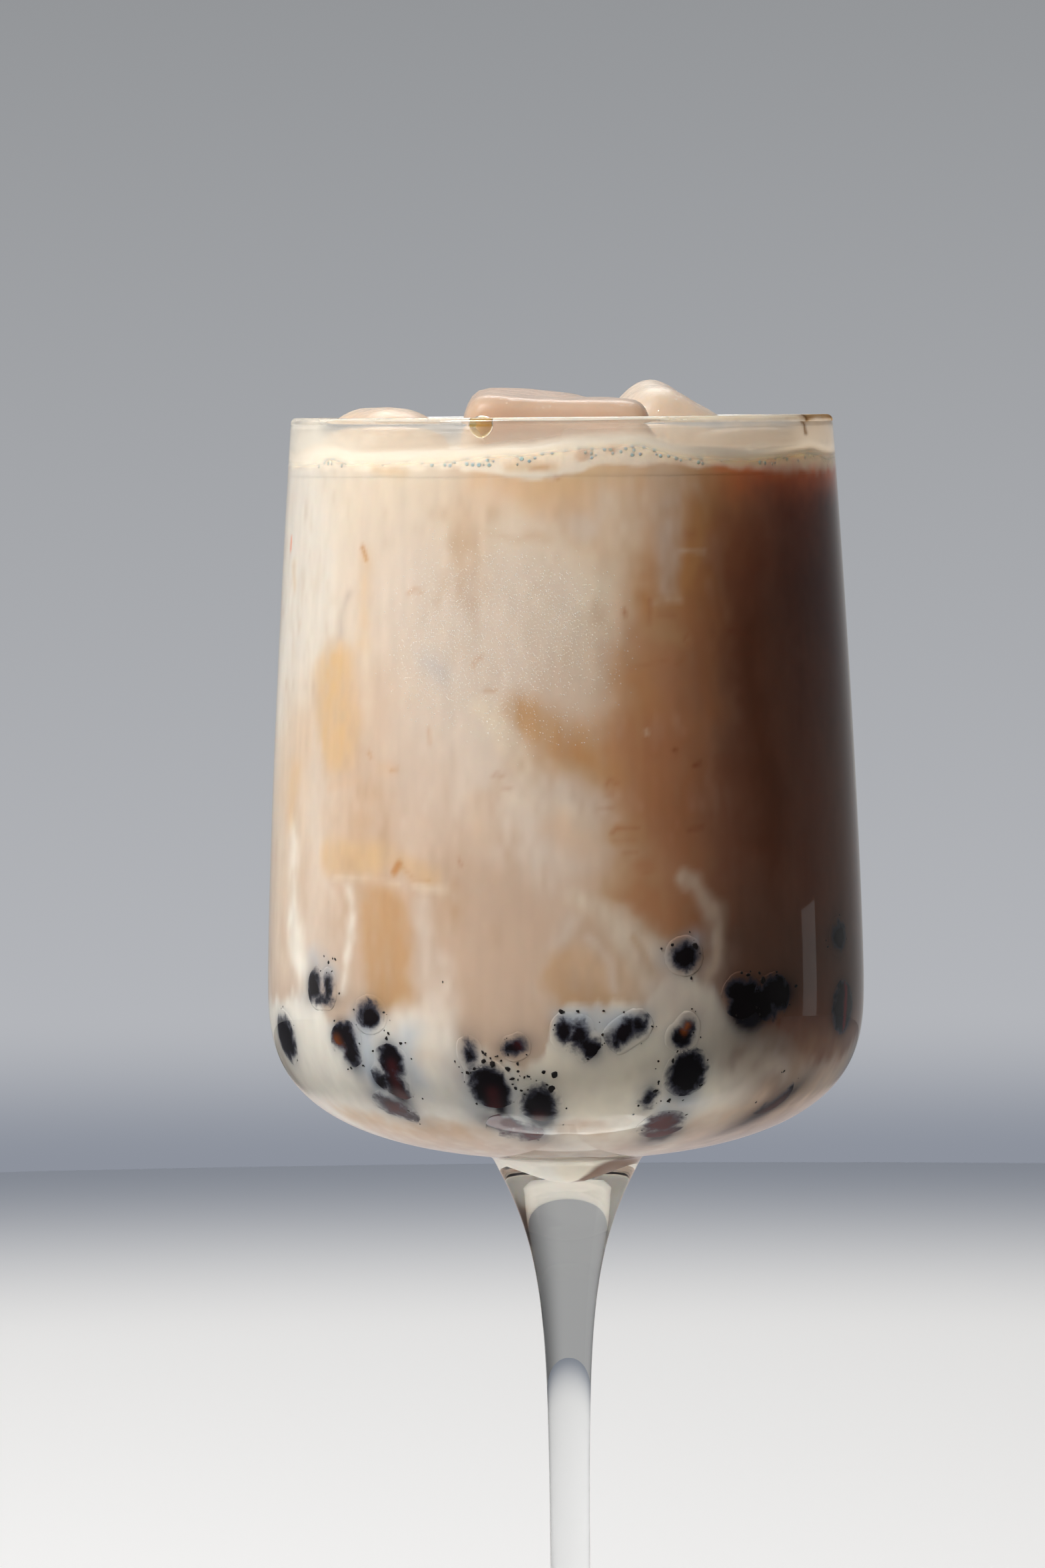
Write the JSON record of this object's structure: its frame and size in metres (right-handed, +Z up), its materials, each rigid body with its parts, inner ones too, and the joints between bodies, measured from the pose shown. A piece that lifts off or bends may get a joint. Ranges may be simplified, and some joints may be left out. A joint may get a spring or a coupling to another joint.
{
  "type": "iced coffee milk tea with tapioca pearls in a stemmed goblet",
  "caption": "Iced coffee milk tea in a clear stemmed goblet, with floating ice, a thin skin of foam and dark tapioca pearls against the wall.",
  "frame": {"origin": "middle of the foot's underside, on the table", "axes": "+Z up along the stem, -Y towards the shown front, +X to the viewer's right"},
  "size_m": [0.0838, 0.0838, 0.2098],
  "materials": {
    "glass": "clear polished glass with a fire-polished lip",
    "milk_tea": "opaque coffee milk tea, milk streaks swirled into tan coffee",
    "foam": "cream-coloured milk foam of fine bubbles",
    "ice": "cloudy wet ice, stained beige by the coffee",
    "pearl": "dark brown-black tapioca, wet and slightly see-through at thin edges"
  },
  "bodies": {
    "root": {"goblet": "glass", "drink": "milk_tea", "foam": "foam", "ice_left": "ice", "ice_centre": "ice", "ice_back": "ice", "ice_right": "ice", "pearl_01": "pearl", "pearl_02": "pearl", "pearl_03": "pearl", "pearl_04": "pearl", "pearl_05": "pearl", "pearl_06": "pearl", "pearl_07": "pearl", "pearl_08": "pearl", "pearl_09": "pearl", "pearl_10": "pearl", "pearl_11": "pearl", "pearl_12": "pearl", "pearl_13": "pearl", "pearl_14": "pearl", "pearl_15": "pearl", "pearl_16": "pearl", "pearl_17": "pearl", "pearl_18": "pearl", "pearl_19": "pearl", "pearl_20": "pearl", "pearl_21": "pearl", "pearl_22": "pearl", "pearl_23": "pearl", "pearl_24": "pearl", "pearl_25": "pearl"}
  },
  "joints": []
}
